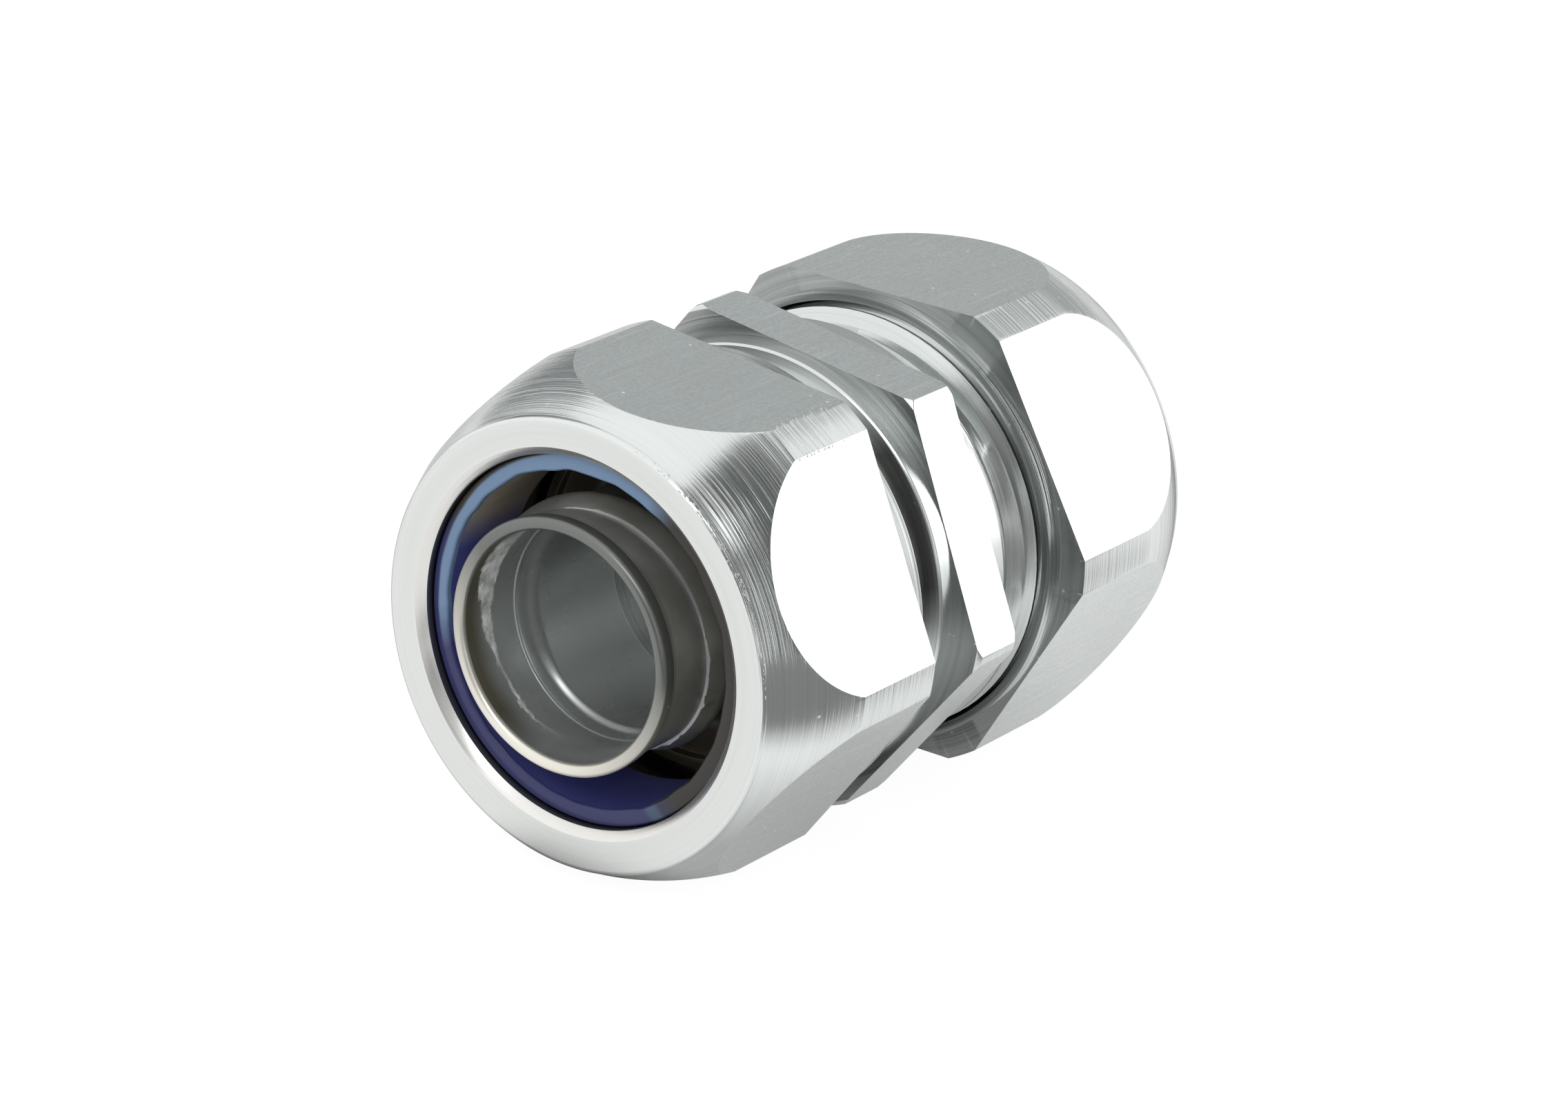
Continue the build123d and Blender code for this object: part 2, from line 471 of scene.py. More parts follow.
def turning_group() -> bpy.types.NodeTree:
    """Fine lines that a lathe leaves round the axis: a height, and bands of tone."""
    nodes, source = start_group("turning_lines", {"Fineness": 9000.0})
    where, fineness = nodes.outputs(source, "Vector", "Fineness")
    x, y, z = nodes.split(where)
    squeeze, slope = 0.004, 0.6
    rings = nodes.value("ShaderNodeCombineXYZ",
                        {0: x + nodes.length(y, z) * slope, 1: y * squeeze, 2: z * squeeze})
    fine = nodes.noise(rings, fineness, 3.0, 0.6)
    coarse = nodes.noise(rings, fineness * 0.36, 2.0, 0.55)
    wander = nodes.noise(where, 60.0)
    return end_group(nodes, {"Height": fine + coarse * (wander * 3.6 + 0.6),
                             "Bands": coarse * 0.5 + fine * 0.5})


def drawn_group() -> bpy.types.NodeTree:
    """Fine grain of the drawn bar with a few scratches along it: a height, and bands of tone."""
    nodes, source = start_group("drawn_scratches", {})
    where = nodes.outputs(source, "Vector")[0]
    stretched = nodes.value("ShaderNodeMapping", {"Vector": where, "Scale": (0.03, 1.0, 1.0)})
    grain = nodes.noise(where, 4200.0, 3.0, 0.7)
    lines = nodes.noise(stretched, 3800.0, 3.0, 0.6)
    scratch = lines.ramp(0.6, 0.68) * nodes.noise(where, 330.0).ramp(0.44, 0.6)
    soft = grain * 0.72 + lines * 0.28
    return end_group(nodes, {"Height": soft - scratch * 0.5, "Bands": soft + scratch * 0.2})


def nick_group() -> bpy.types.NodeTree:
    """Small scattered nicks from handling, as a mask."""
    nodes, source = start_group("handling_nicks", {})
    where = nodes.outputs(source, "Vector")[0]
    nick_size, left_out, warp = 0.075, 0.66, (0.0012, 0.0005, 0.0005)
    warped = nodes.value("ShaderNodeVectorMath", {0: nodes.noise(where, 900.0), 1: warp, 2: where},
                         operation="MULTIPLY_ADD")
    cells = nodes.add("ShaderNodeTexVoronoi", {"Vector": warped, "Scale": 760.0}, feature="F1")
    distance, colour = nodes.outputs(cells, "Distance", "Color")
    pick = nodes.math("GREATER_THAN", nodes.value("ShaderNodeSeparateColor", {0: colour}), left_out)
    return end_group(nodes, {"Mask": nodes.math("LESS_THAN", distance, nick_size) * pick})


@dataclass(frozen=True)
class MetalFinish:
    """A plated steel surface with the lines of the tool that cut it.

    The bands of tone run from shade to colour, and spread is how far the roughness follows them. The depth
    is that of the relief, in metres. A pale cream tone can give painted light low and on the left, and a
    deeper tone painted shade on the right.
    """

    name: str
    grain: Grain
    colour: Colour
    shade: Colour
    roughness: float
    spread: float
    depth: float
    nick: float = 0.5
    fineness: float = 12000.0
    metallic: float = 1.0
    # Optional tones of painted light, low and on the left, and of painted shade, on the right.
    painted_light_tone: Colour | None = None
    painted_shade_tone: Colour | None = None
    nick_tone: Colour = (0.95, 0.95, 0.95)
    refraction: float = 2.0

    def build(self, effects: dict[str, bpy.types.NodeTree]) -> bpy.types.Material:
        """Makes the material.

        Args:
            effects: The shared node groups by the grain's value, and "nicks".

        Returns:
            The material.
        """
        material, nodes = start_material(self.name)
        nodes.surface(IOR=self.refraction)
        place = nodes.value("ShaderNodeMapping", {"Vector": nodes.place(), "Location": (0, 0, -AXIS_Z)})
        inputs = {"Vector": place} | ({"Fineness": self.fineness} if self.grain is Grain.TURNED else {})
        group = nodes.add("ShaderNodeGroup", inputs, node_tree=effects[self.grain.value])
        height, bands = nodes.outputs(group, "Height", "Bands")
        mask = nodes.value("ShaderNodeGroup", {"Vector": place}, "Mask", node_tree=effects["nicks"])
        clouds = nodes.noise(place, 90.0, 3.0).ramp(0.4, 0.75) * 0.35
        tone = nodes.mix(bands.ramp(0.35, 0.68), self.shade, self.colour)
        tone = nodes.mix(clouds, tone, self.shade)
        tone = nodes.mix(mask * self.nick, tone, self.nick_tone)
        # Painted light: a pale cream tone low and on the left, where the light falls.
        if self.painted_light_tone is not None:
            _, y, z = nodes.split(place)
            tone = nodes.mix((y * 0.25 - z * 0.8).ramp(-2.0 * MM, 6.4 * MM), tone, self.painted_light_tone)
        # Painted shade: a deep tone on the right, from about 20 to 100 degrees round the axis.
        if self.painted_shade_tone is not None:
            _, y, z = nodes.split(place)
            angle = nodes.math("ARCTAN2", y * -1.0, z)
            tone = nodes.mix(angle.ramp(0.35, 0.7) * angle.ramp(1.75, 1.4), tone, self.painted_shade_tone)
        nodes.surface(Base_Color=tone, Metallic=self.metallic - mask * (self.nick * self.metallic),
                      Roughness=bands * self.spread + (self.roughness - self.spread / 2))
        nodes.bump(height + mask * self.nick, self.depth)
        return material


@dataclass(frozen=True)
class PlasticFinish:
    """Moulded navy plastic with painted light: a painted highlight makes its front edge paler at the upper
    left, painted shade dims its front rim, and a painted tan reflection of the metal round it lies on the
    upper right, with a painted teal line along that reflection's lower edge.
    """

    name: str
    colour: Colour
    # Tone of the painted highlight on the front edge at the upper left.
    pale: Colour
    roughness: float
    # Painted reflection of the metal round the ring, and its deeper tone at the front rim.
    brown: Colour = (0.46, 0.41, 0.33)
    brown_rim: Colour = (0.03, 0.026, 0.022)
    # Tone of a painted teal line along the lower edge of the painted reflection.
    border: Colour = (0.07, 0.13, 0.2)
    # How much of the navy stays on the front rim, which painted shade dims.
    rim_shade_share: float = 0.42

    def build(self, front: float, outwards: float) -> bpy.types.Material:
        """Makes the material.

        Args:
            front: Place of the ring's front edge along x.
            outwards: Direction in which the front edge faces, -1 or 1.

        Returns:
            The material.
        """
        material, nodes = start_material(self.name)
        nodes.surface(Coat_Weight=0.25, Specular_IOR_Level=0.35, Coat_Roughness=0.14)
        where = nodes.place()
        x, y, z = nodes.split(where)
        depth, height = (front - x) * outwards, z - AXIS_Z
        mottled = nodes.noise(where, 400.0, 3.0)
        edge = (depth + mottled * 0.0004).ramp(0.7 * MM, 0.6 * MM)
        upper_left = (y * 0.62 + height * 0.78 + mottled * 0.002).ramp(4.5 * MM, 6.8 * MM)
        inner = (nodes.length(y, height) + y * 0.05 + mottled * 0.0002).ramp(11.95 * MM, 11.8 * MM)
        # Painted shade on the front rim: the navy dims there, and so does the painted reflection.
        rim = depth.ramp(0.3 * MM, 0.1 * MM)
        # Painted reflection of the metal round the ring, on the upper right.
        upper_right = (y * -0.6 + height * 0.8).ramp(-4.2 * MM, -1.6 * MM)
        navy = nodes.mix(rim, self.colour, tuple(self.rim_shade_share * part for part in self.colour))
        wall = nodes.mix(upper_right, navy, nodes.mix(rim, self.brown, self.brown_rim))
        # A painted teal line along the lower edge of the painted reflection.
        border = abs(upper_right - 0.25).ramp(0.25, 0.1) * height.ramp(-4.0 * MM, -6.5 * MM)
        wall = nodes.mix(border * 0.6, wall, self.border)
        # Painted highlight: the pale tone on the front edge at the upper left.
        nodes.surface(Base_Color=nodes.mix(edge * upper_left * inner, wall, self.pale),
                      Roughness=mottled * 0.12 + self.roughness)
        nodes.bump(nodes.noise(where, 1500.0, 3.0), 0.01 * MM)
        return material


@dataclass(frozen=True)
class RolledFinish:
    """Dull rolled steel of the ferrule, with painted light and shade. A rough band inside behind the lip is
    made pale as painted light, the bore is lighter deeper inside as painted light, the cup at the foot is
    dimmed as painted shade, and the steel just inside the lip turns a deeper tan.
    """

    name: str
    colour: Colour = (0.47, 0.49, 0.485)
    shade: Colour = (0.36, 0.375, 0.37)
    # Tone of the painted highlight on the rough band inside.
    pale: Colour = (0.8, 0.81, 0.79)
    # A deeper tan tone just inside the lip.
    lip_side_tone: Colour = (0.2, 0.185, 0.135)
    # Lighter tone deeper in the bore, as painted light.
    inner: Colour = (0.64, 0.665, 0.655)
    # Tan tone of the cup at the foot, as painted shade.
    cup: Colour = (0.22, 0.19, 0.14)

    def build(self, tip: float, direction: float, shift: float) -> bpy.types.Material:
        """Makes the material.

        Args:
            tip: Place of the ferrule's tip along x.
            direction: Direction in which the tip points, -1 or 1.
            shift: How far the ferrule's axis lies off the coupling's, along Y.

        Returns:
            The material.
        """
        material, nodes = start_material(self.name)
        where = nodes.place()
        x, y, z = nodes.split(where)
        depth, across, height = (tip - x) * direction, shift - y, z - AXIS_Z
        angle, radius = nodes.math("ARCTAN2", across, height), nodes.length(across, height)
        inside = nodes.math("LESS_THAN", radius, 7.6 * MM)
        ragged = (nodes.noise(where, 1500.0, 3.0) - 0.5) * 0.0009
        middle = angle.ramp(-1.2, -2.2) * 0.0006 + 2.1 * MM
        half = angle.ramp(-2.1, -1.2) * 0.0009 + 0.22 * MM
        off = abs(depth - middle + ragged)
        window = angle.ramp(-3.0, -2.5) * angle.ramp(-0.55, -0.95)
        mottled = nodes.noise(where, 900.0, 4.0, 0.7).ramp(0.25, 0.62)
        # A rough band inside on the left; its pale tone is painted light, its bump real roughness.
        band = nodes.math("DIVIDE", half - off, 0.18 * MM, clamp=True) * window * (inside * mottled)
        cloudy = nodes.noise(where, 260.0, 3.0).ramp(0.35, 0.65)
        tone = nodes.mix(cloudy, self.shade, self.colour)
        # Painted light: the bore turns lighter deeper inside.
        tone = nodes.mix(inside * depth.ramp(1.0 * MM, 5.0 * MM), tone, self.inner)
        # Painted shade: the cup at the foot is dimmed to a tan.
        tone = nodes.mix(radius.ramp(8.6 * MM, 9.2 * MM), tone, self.cup)
        # A deeper tan tone just inside the lip, on the left.
        tone = nodes.mix(depth.ramp(2.4 * MM, 1.0 * MM) * (inside * window), tone, self.lip_side_tone)
        smooth = inside * depth.ramp(3.0 * MM, 4.5 * MM)
        nodes.surface(Base_Color=nodes.mix(band, tone, self.pale), Metallic=0.8 - band * 0.6,
                      Roughness=cloudy * 0.1 + 0.36 - smooth * 0.14)
        nodes.bump(band * mottled, 0.06 * MM)
        return material


# Pieces


@dataclass
class Nut:
    """A hex nut with turned corners, a domed nose, a conical seat, a turned end and an inside thread."""

    end: End
    twist: float
    across: float = 30.0 * MM
    corner: float = 16.7 * MM
    hex_length: float = 7.2 * MM
    nose: float = 14.0 * MM
    nose_round: float = 0.35 * MM
    nose_drop: float = 0.0
    bulge: float = 0.33 * MM
    hole: float = 11.75 * MM
    hole_chamfer: float = 0.5 * MM
    lip: float = 1.0 * MM
    seat_length: float = 2.6 * MM
    seat_land: float = 1.0 * MM
    seat: float = 12.5 * MM
    bore: float = 14.1 * MM
    crest: float = 13.22 * MM
    thread_start: float = 0.5 * MM
    end_length: float = 1.2 * MM
    end_radius: float = 14.84 * MM
    end_bore: float = 14.27 * MM
    pitch: float = 1.5 * MM
    near: float = 0.02 * MM
    names: tuple[str, ...] = ("dome", "flat", "face", "inside", "chamfer", "mouth", "end")

    def section(self, mouth: float, face: float) -> list[Point]:
        """Half section of the nut as (x, r), from the shoulder over the nose and through the bore."""
        shoulder = mouth + self.hex_length
        edge = (face - self.nose_round, self.nose + self.nose_round)
        middle = ((shoulder + edge[0]) / 2, (self.corner + edge[1]) / 2 + self.bulge)
        dome = arc((shoulder, self.corner), middle, edge, 18)
        bend = self.nose_round * (1 - math.sqrt(0.5))
        nose = arc(edge, (face - bend, self.nose + self.nose_round - bend), (face, self.nose), 5)
        seat_start = face - self.lip
        land_end = seat_start - self.seat_length - self.seat_land
        inside = [
            (face, self.hole + self.hole_chamfer * 1.1), (face - self.hole_chamfer, self.hole),
            (seat_start, self.hole), (seat_start - self.seat_length, self.seat),
            (land_end, self.seat), (land_end - (self.bore - self.seat), self.bore),
            (mouth, self.bore), (mouth - (self.end_bore - self.bore), self.end_bore),
            (mouth - self.end_length, self.end_bore), (mouth - self.end_length, self.end_radius),
            (mouth, self.end_radius), (mouth, self.corner),
            (mouth + self.hex_length / 2, self.corner),
        ]
        return [(self.end.value * s, r) for s, r in dome + nose[1:] + inside]

    def build(self, finishes: Finishes) -> bpy.types.Object:
        """Models the nut.

        Args:
            finishes: Materials by their short names.

        Returns:
            The finished piece.
        """
        mouth, face = self.end.span("nut")
        bm = bmesh.new()
        faces = spin_section(bm, self.section(mouth, face), 288)
        for item in faces:
            x, radius = polar(item.calc_center_median())
            item.material_index = self.names.index(self._finish_at(x * self.end.value, radius, mouth, face))
        self._drop_nose(bm, mouth + self.hex_length, face)
        cut_flats(bm, faces, self.across, self.twist, self.names.index("flat"))
        soften_edges(bm, 0.06 * MM, 8)
        self._thread(mouth, face).build(bm)
        if self.end is End.FRONT:
            add_burrs(bm, self._burrs(mouth, face), self.names.index("chamfer"))
        return make_piece(self.end.label + "_nut_turned", bm, [finishes[name] for name in self.names])

    def _drop_nose(self, bm: Mesh, shoulder: float, face: float) -> None:
        """Lets the turned dome run slightly off centre towards its nose."""
        for vert in bm.verts:
            x, radius = polar(vert.co)
            s = x * self.end.value
            if s > shoulder and radius > self.nose - 0.05 * MM:
                vert.co.z -= self.nose_drop * (s - shoulder) / (face - shoulder)

    def _burrs(self, mouth: float, face: float) -> list:
        """Burrs on the nose's upper right, and short ones beside the corner next to the top flat."""
        direction = self.end.value
        chance = random.Random(8)
        spots = []
        for _ in range(110):
            size = chance.uniform(0.025, 0.085) * MM
            angle = chance.triangular(0.1, 1.6, 0.75)
            back = chance.uniform(0.03, 0.26) * MM
            rise = math.sqrt(2 * self.nose_round * back - back * back)
            spots.append((direction * (face - back), self.nose + rise - self.nose_drop * math.cos(angle),
                          angle, size * 0.8, size * 0.6, size * chance.uniform(1, 2.5)))
        for _ in range(46):
            edge = self.twist + chance.choice((math.radians(26.0), math.radians(33.9)))
            size = chance.uniform(0.014, 0.024) * MM
            spots.append((direction * (mouth + chance.triangular(0.3, 7.2, 6.4) * MM),
                          self.corner - 0.02 * MM, edge + chance.uniform(-0.006, 0.006), size, size,
                          size * chance.uniform(4, 12)))
        return spots

    def _finish_at(self, s: float, radius: float, mouth: float, face: float) -> str:
        """Name of the finish of the stretch of the nut that a turned face lies on."""
        if s > face - self.near:
            return "face"
        if radius < self.hole + self.hole_chamfer and s > face - self.hole_chamfer:
            return "chamfer"
        if s < mouth - self.near and radius > self.end_radius - self.near / 2:
            return "end"
        if s < mouth + self.near:
            return "mouth"
        return "inside" if radius < self.bore + self.near / 2 and s < face - self.hole_chamfer else "dome"

    def _thread(self, mouth: float, face: float) -> Helix:
        """The inside thread, in mesh with the body's."""
        start = mouth + self.thread_start
        stop = face - self.lip - self.seat_length - self.seat_land - (self.bore - self.seat)
        section = vee(self.bore + 0.05 * MM, self.crest, 1.25 * MM, 0.2 * MM)
        helix = wound_thread(self.end, start, stop - start - self.pitch, self.pitch, section, 0.3)
        helix.phase += math.pi
        return helix


def wound_thread(end: End, start: float, length: float, pitch: float, section: list[Point],
                 fade: float) -> Helix:
    """A thread's ridge, in step with the ridge that the model winds round the body.

    Args:
        end: Which of the body's threads it goes with.
        start: Where it begins along s.
        length: How long it is.
        pitch: Distance from turn to turn.
        section: Section of the ridge.
        fade: Share of a turn over which its ends fade out.

    Returns:
        The ridge, not built yet.
    """
    model_start = 5.4 * MM
    low = min(end.value * start, end.value * (start + length))
    turned = TURN * (low - end.value * model_start) / pitch
    return Helix(low, length, pitch, section, turned if end is End.REAR else turned + math.pi, fade=fade)


@dataclass
class Body:
    """The coupling's body: hex collar, bosses, relief grooves and outside threads."""

    twist: float
    across: float = 28.92 * MM
    corner: float = 16.4 * MM
    hexagon_middle: Point = (0.172 * MM, -0.246 * MM)
    thickness: float = 4.1 * MM
    bevel: float = 0.3 * MM
    boss: float = 14.15 * MM
    boss_length: float = 1.4 * MM
    boss_edge: float = 0.15 * MM
    relief: float = 12.9 * MM
    relief_width: float = 1.2 * MM
    crest: float = 14.0 * MM
    root: float = 13.1 * MM
    thread_length: float = 7.0 * MM
    lead_in: float = 0.8 * MM
    counterbore: float = 12.5 * MM
    seat_depth: float = 3.25 * MM
    bore: float = 7.6 * MM
    pitch: float = 1.5 * MM
    near: float = 0.1 * MM
    names: tuple[str, ...] = ("thread", "flat", "inside", "mouth", "groove", "bore")

    def half_section(self) -> list[Point]:
        """Outline of one half of the sleeve as (s, r), outside first."""
        boss_end = self.thickness / 2 + self.boss_length
        relief_end = boss_end + self.relief_width
        end = relief_end + self.thread_length
        foot = end - self.seat_depth
        return [
            (0.0, self.boss), (boss_end - self.boss_edge, self.boss),
            (boss_end, self.boss - self.boss_edge), (boss_end, self.relief),
            (relief_end, self.relief), (relief_end + 0.2 * MM, self.root),
            (end - 0.1 * MM, self.root), (end, self.root - 0.1 * MM),
            (end, self.counterbore), (foot, self.counterbore), (foot, self.bore),
        ]

    def build(self, finishes: Finishes) -> bpy.types.Object:
        """Models the body.

        Args:
            finishes: Materials by their short names.

        Returns:
            The finished piece.
        """
        bm = bmesh.new()
        half = self.half_section()
        for face in spin_section(bm, half + [(-s, r) for s, r in reversed(half) if s > 0], 240):
            face.material_index = self.names.index(self._finish_at(*polar(face.calc_center_median())))
        edge = self.thickness / 2
        inner = self.bore + 2 * MM
        blank = [(-edge, inner), (-edge, self.corner - self.bevel), (-edge + self.bevel, self.corner),
                 (edge - self.bevel, self.corner), (edge, self.corner - self.bevel), (edge, inner)]
        collar = spin_section(bm, blank, 240)
        for face in collar:
            if abs(abs(face.calc_center_median().x) - edge) < self.near / 5:
                face.material_index = self.names.index("mouth")
        cut_flats(bm, collar, self.across, self.twist, self.names.index("flat"), self.hexagon_middle)
        soften_edges(bm, 0.05 * MM, 14)
        for end in End:
            for face in self._thread(end).build(bm, limit=self._lead_in):
                face.material_index = self.names.index("groove" if end is End.FRONT else "thread")
        return make_piece("coupling_body_turned", bm, [finishes[name] for name in self.names])

    def _finish_at(self, x: float, radius: float) -> str:
        """Name of the finish of the stretch of the sleeve that a face lies on."""
        in_front = x < -self.thickness / 2 - self.boss_length
        if in_front and self.counterbore + 2 * self.near < radius < self.root + self.near:
            return "groove"
        if radius < self.bore + self.near:
            return "bore"
        return "inside" if radius < self.counterbore + self.near else "thread"

    def _lead_in(self, x: float) -> float:
        """Greatest radius of the thread at x, cut back at its mouth."""
        end = self.thickness / 2 + self.boss_length + self.relief_width + self.thread_length
        return min(self.crest, self.crest - self.lead_in + (end - abs(x)))

    def _thread(self, end: End) -> Helix:
        """The outside thread at one end."""
        start = self.thickness / 2 + self.boss_length + self.relief_width + self.pitch / 2
        section = vee(self.root - 0.05 * MM, self.crest, 1.3 * MM, 0.2 * MM)
        return wound_thread(end, start, self.thread_length - self.pitch, self.pitch, section, 0.2)


@dataclass
class SealRing:
    """A blue plastic ring with a tapered outside and a slightly ragged front edge."""

    end: End
    inside: float = 10.6 * MM
    nose: float = 11.69 * MM
    outside: float = 12.35 * MM
    cone_length: float = 2.6 * MM
    round_off: float = 0.12 * MM
    rag: float = 0.07 * MM

    def build(self, finish: PlasticFinish) -> bpy.types.Object:
        """Models the ring.

        Args:
            finish: The ring's plastic.

        Returns:
            The finished piece.
        """
        direction = self.end.value
        back, front = self.end.span("seal_ring")
        section = [
            (front - self.round_off, self.inside), (back + 0.3 * MM, self.inside),
            (back, self.inside + 0.3 * MM), (back, self.outside - 0.2 * MM),
            (back + 0.2 * MM, self.outside), (front - self.cone_length, self.outside),
            (front - 0.1 * MM, self.nose), (front, self.nose - 0.1 * MM),
            (front, self.inside + self.round_off),
        ]
        bm = bmesh.new()
        spin_section(bm, [(direction * s, r) for s, r in section], 240)
        soften_edges(bm, 0.05 * MM, 14)
        self._tear(bm, front)
        material = finish.build(direction * front, direction)
        return make_piece(self.end.label + "_seal_ring_moulded", bm, [material])

    def _tear(self, bm: Mesh, front: float) -> None:
        """Makes the front inside edge slightly ragged."""
        chance = random.Random(5)
        waves = [(chance.randint(3, 40), chance.uniform(0, TURN), chance.uniform(0.2, 1)) for _ in range(9)]
        for vert in bm.verts:
            x, radius = polar(vert.co)
            reach = 2 * self.round_off
            if x * self.end.value > front - reach and radius < self.inside + reach:
                y, z = vert.co.y, vert.co.z - AXIS_Z
                ragged = sum(a * math.sin(n * math.atan2(y, z) + p) for n, p, a in waves) / 3
                scale = (radius + self.rag * ragged) / radius
                vert.co.y, vert.co.z = y * scale, AXIS_Z + z * scale


@dataclass
class Ferrule:
    """A thin tube with a rolled lip, a rolled helical ridge and a cup at its foot."""

    end: End
    shift: float
    tube: float = 7.85 * MM
    bore: float = 7.3 * MM
    throat: float = 6.95 * MM
    line_depth: float = 5.1 * MM
    line_cut: float = 0.08 * MM
    shoulder_start: float = 0.5 * MM
    shoulder_length: float = 1.5 * MM
    shoulder_step: float = 0.03 * MM
    fillet: float = 0.9 * MM
    lip: float = 8.15 * MM
    lip_width: float = 1.1 * MM
    cup: float = 11.7 * MM
    cup_wall: float = 0.7 * MM
    cup_depth: float = 0.7 * MM
    floor: float = 0.8 * MM
    ridge_start: float = 2.9 * MM
    ridge_lead: float = 5.0 * MM
    ridge_turns: float = 1.15
    ridge_phase: float = -1.8

    def section(self, foot: float, tip: float) -> list[Point]:
        """Half section of the ferrule as (s, r)."""
        bead = (self.lip - self.bore) / 2
        floor_end = foot + self.floor
        line = tip - self.line_depth
        nose = arc((tip - bead, self.lip), (tip, (self.lip + self.bore) / 2), (tip - bead, self.bore), 10)
        high = self.bore - self.shoulder_step
        drop = (high - self.throat) / 2
        shoulder = [(line - self.shoulder_start - self.shoulder_length * k / 8,
                     high - drop * (1 - math.cos(math.pi * k / 8))) for k in range(9)]
        bend = 0.29 * self.fillet
        root = arc((floor_end, self.tube + self.fillet), (floor_end + bend, self.tube + bend),
                   (floor_end + self.fillet, self.tube), 5)
        return nose + [
            (line + 0.15 * MM, self.bore), (line + 0.05 * MM, self.bore - self.line_cut),
            (line - 0.1 * MM, self.bore - self.line_cut), (line - 0.2 * MM, self.bore),
        ] + shoulder + [
            (foot, self.throat), (foot, self.cup), (floor_end + self.cup_depth, self.cup),
            (floor_end + self.cup_depth, self.cup - self.cup_wall), (floor_end, self.cup - self.cup_wall),
        ] + root + [
            (tip - self.lip_width - 0.5 * MM, self.tube), (tip - self.lip_width, self.lip - 0.05 * MM),
        ]

    def build(self, finishes: Finishes) -> bpy.types.Object:
        """Models the ferrule.

        Args:
            finishes: Materials by their short names.

        Returns:
            The finished piece.
        """
        direction = self.end.value
        foot, tip = self.end.span("ferrule")
        bm = bmesh.new()
        section = [(direction * s, r) for s, r in self.section(foot, tip)]
        for face in spin_section(bm, section, 192, self.shift):
            if face.calc_center_median().x * direction > tip - self.lip_width * 0.8:
                face.material_index = 1
        soften_edges(bm, 0.06 * MM, 20)
        self._tighten(bm, tip)
        self._ridge(tip).build(bm, roughen=self._burrs(tip))
        tube = RolledFinish(self.end.label + "_rolled_steel").build(direction * tip, direction, self.shift)
        return make_piece(self.end.label + "_ferrule_rolled", bm, [tube, finishes["lip"]])

    def _tighten(self, bm: Mesh, tip: float) -> None:
        """Makes the shoulder inside steeper low on the left, where it catches the light."""
        direction = self.end.value
        middle = tip - self.line_depth - self.shoulder_start - self.shoulder_length / 2
        spot, squeeze = math.radians(-167), 0.62
        for vert in bm.verts:
            across, height = self.shift - vert.co.y, vert.co.z - AXIS_Z
            radius = math.hypot(across, height)
            s = vert.co.x * direction
            if radius > self.bore + 0.02 * MM or abs(s - middle) > 0.8 * MM:
                continue
            facing = (height * math.cos(spot) + across * math.sin(spot)) / radius
            share = min(1.0, max(0.0, (facing - 0.7) / 0.25))
            share = share * share * (3 - 2 * share)
            vert.co.x = direction * (middle + (s - middle) * (1 - squeeze * share))

    def _ridge(self, tip: float) -> Helix:
        """The rolled ridge outside, with a sharp edge towards the tip and a long soft back."""
        section = [(-0.98, 7.75), (-0.92, 8.04), (-0.84, 8.08), (-0.45, 8.14), (0.1, 8.36), (0.5, 8.47),
                   (0.8, 8.42), (1.05, 8.2), (1.2, 7.75)]
        direction = self.end.value
        length = self.ridge_lead * self.ridge_turns
        low, phase = direction * (tip - self.ridge_start), self.ridge_phase
        if self.end is End.REAR:
            low, phase = low - length, math.pi + phase - self.ridge_turns * TURN
        mirrored = [(-direction * x * MM, r * MM) for x, r in section]
        return Helix(low, length, self.ridge_lead, mirrored, phase, shift=self.shift, steps_a_turn=260,
                     fade=0.15)

    def _burrs(self, tip: float):
        """Roughness of the ridge's front edge, strongest low on the viewer's side."""
        chance = random.Random(11)
        spots = [(chance.uniform(-math.pi, math.pi), chance.uniform(0.008, 0.04),
                  chance.uniform(-0.25, 0.25)) for _ in range(90)]
        strength, viewer_side, edge_lag = 0.8 * MM, 1.9, 1.1

        def move(angle: float, x: float) -> float:
            turned = 0.0
            if self.end is End.FRONT:
                turned = self.ridge_phase + (x + tip - self.ridge_start) / self.ridge_lead * TURN
            behind = (turned - angle + math.pi) % TURN - math.pi
            front = math.exp(-(behind + edge_lag) ** 2 / 0.05)
            near_side = 0.15 + math.exp(-((angle - viewer_side) / 0.6) ** 2)
            return strength * near_side * front * sum(h * math.exp(-((angle - a) / w) ** 2)
                                                      for a, w, h in spots)

        return move


# Studio


@dataclass(frozen=True)
class Lamp:
    """A soft rectangular lamp."""

    name: str
    place: tuple[float, float, float]
    size: tuple[float, float]
    power: float

    def build(self) -> None:
        """Places the lamp, facing the coupling."""
        data = bpy.data.lights.new(self.name, "AREA")
        data.shape = "RECTANGLE"
        data.size, data.size_y = self.size
        data.energy = self.power
        lamp = link_object(self.name, data)
        lamp.location = self.place
        lamp.rotation_euler = (Vector(self.place) - MIDDLE).to_track_quat("Z", "Y").to_euler()


@dataclass(frozen=True)
class Card:
    """A grey studio card that shows only as a reflection."""

    name: str
    direction: tuple[float, float, float]
    distance: float
    size: tuple[float, float]
    level: float

    def build(self) -> None:
        """Places the card, facing the coupling."""
        material, nodes = start_material(self.name)
        nodes.tree.nodes.clear()
        tone = (self.level * 0.97, self.level, self.level)
        nodes.show(nodes.value("ShaderNodeEmission", {"Color": tone}))
        towards = Vector(self.direction).normalized()
        turn = towards.to_track_quat("Z", "Y").to_matrix().to_4x4()
        place = Matrix.Translation(MIDDLE + towards * self.distance)
        card = link_sheet(self.name, place @ turn @ Matrix.Diagonal((*self.size, 1, 1)), material)
        card.visible_camera = card.visible_shadow = card.visible_diffuse = False


